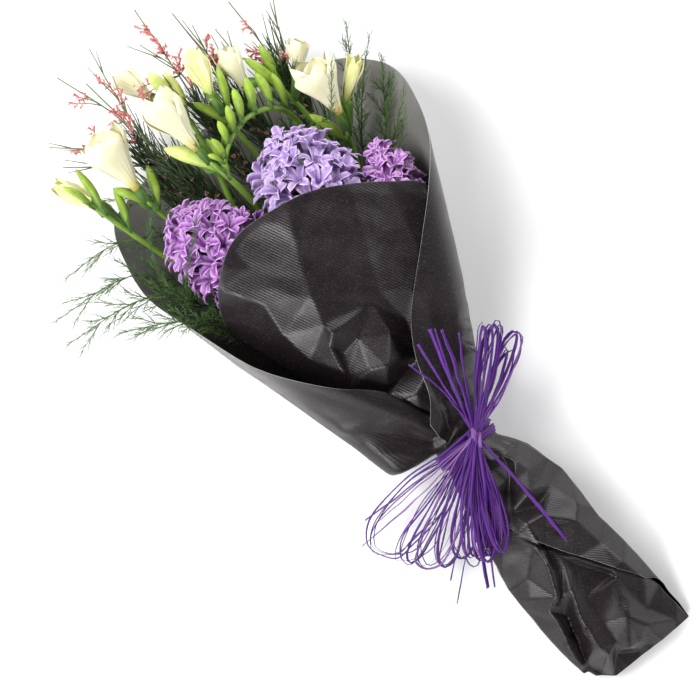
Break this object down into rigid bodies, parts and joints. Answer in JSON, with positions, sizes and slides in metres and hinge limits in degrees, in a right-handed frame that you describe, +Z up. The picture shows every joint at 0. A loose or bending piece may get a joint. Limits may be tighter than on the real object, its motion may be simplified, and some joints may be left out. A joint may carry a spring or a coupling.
{
  "type": "wrapped flower bouquet",
  "caption": "Hand-tied spring bouquet of hyacinth, freesia, broom and fern, rolled in dark ribbed paper and cinched with a raffia bow, lying on its back.",
  "frame": {"origin": "on the surface the bouquet lies on, under the middle of its bounding box", "axes": "+Y from the foot of the wrapper towards the flower tips, +Z up from the surface, +X to the right seen from above with the flowers away from the viewer"},
  "size_m": [0.2808, 0.5184, 0.0982],
  "materials": {
    "kraft_paper": "ribbed paper, satin",
    "raffia": "dyed raffia, satin",
    "lavender_petal": "waxy petal",
    "violet_petal": "waxy petal",
    "mauve_petal": "waxy petal",
    "hyacinth_stem": "smooth stem",
    "cream_petal": "soft petal",
    "freesia_stem": "smooth stem",
    "broom_twig": "ribbed green twig",
    "fern_leaf": "matt needles"
  },
  "bodies": {
    "root": {"wrap_outer": "kraft_paper", "wrap_inner": "kraft_paper", "raffia_tie": "raffia", "raffia_bow": "raffia", "broom_1": "broom_twig", "broom_2": "broom_twig", "broom_3": "broom_twig", "broom_4": "broom_twig", "broom_5": "broom_twig", "fern_1": "fern_leaf", "fern_2": "fern_leaf", "fern_3": "fern_leaf", "fern_4": "fern_leaf", "fern_5": "fern_leaf", "fern_6": "fern_leaf", "fern_7": "fern_leaf", "fern_8": "fern_leaf", "freesia_1": "freesia_stem", "freesia_1_bloom_1": "cream_petal", "freesia_2": "freesia_stem", "freesia_2_bloom_1": "cream_petal", "freesia_3": "freesia_stem", "freesia_3_bloom_1": "cream_petal", "freesia_4": "freesia_stem", "freesia_4_bloom_1": "cream_petal", "freesia_5": "freesia_stem", "freesia_5_bloom_1": "cream_petal", "freesia_6": "freesia_stem", "freesia_7": "freesia_stem", "freesia_7_bloom_1": "cream_petal", "freesia_7_bloom_2": "cream_petal", "freesia_8": "freesia_stem", "freesia_8_bloom_1": "cream_petal", "freesia_8_bloom_2": "cream_petal", "hyacinth_left": "violet_petal", "hyacinth_left_stem": "hyacinth_stem", "hyacinth_middle": "lavender_petal", "hyacinth_middle_stem": "hyacinth_stem", "hyacinth_right": "mauve_petal", "hyacinth_right_stem": "hyacinth_stem"}
  },
  "joints": []
}
